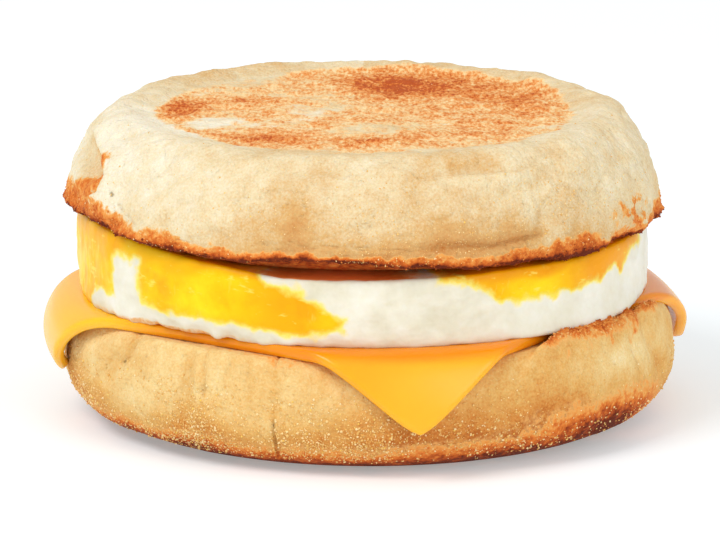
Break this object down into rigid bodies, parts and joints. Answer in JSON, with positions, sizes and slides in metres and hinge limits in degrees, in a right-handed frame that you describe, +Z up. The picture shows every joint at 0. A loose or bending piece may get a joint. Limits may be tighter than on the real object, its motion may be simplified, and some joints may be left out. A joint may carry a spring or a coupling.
{
  "type": "breakfast sandwich",
  "caption": "Toasted English muffin halves round a fried egg patty and a slice of processed cheese whose corners hang over the rim.",
  "frame": {"origin": "centre of the lower muffin half's flat base", "axes": "+Z up through the stack, -Y towards the corner of cheese that hangs down at the front"},
  "size_m": [0.1031, 0.1032, 0.0489],
  "materials": {
    "muffin_heel": "baked dough, golden brown below, with cornmeal grains",
    "cheese": "soft satin processed cheese",
    "egg_white": "cooked egg white, moist",
    "egg_yolk": "cooked yolk, moist",
    "muffin_crown": "baked dough, pale and floury, griddled brown on top"
  },
  "bodies": {
    "root": {"muffin_heel": "muffin_heel", "cheese_slice": "cheese", "egg_white": "egg_white", "egg_yolk": "egg_yolk", "muffin_crown": "muffin_crown"}
  },
  "joints": []
}
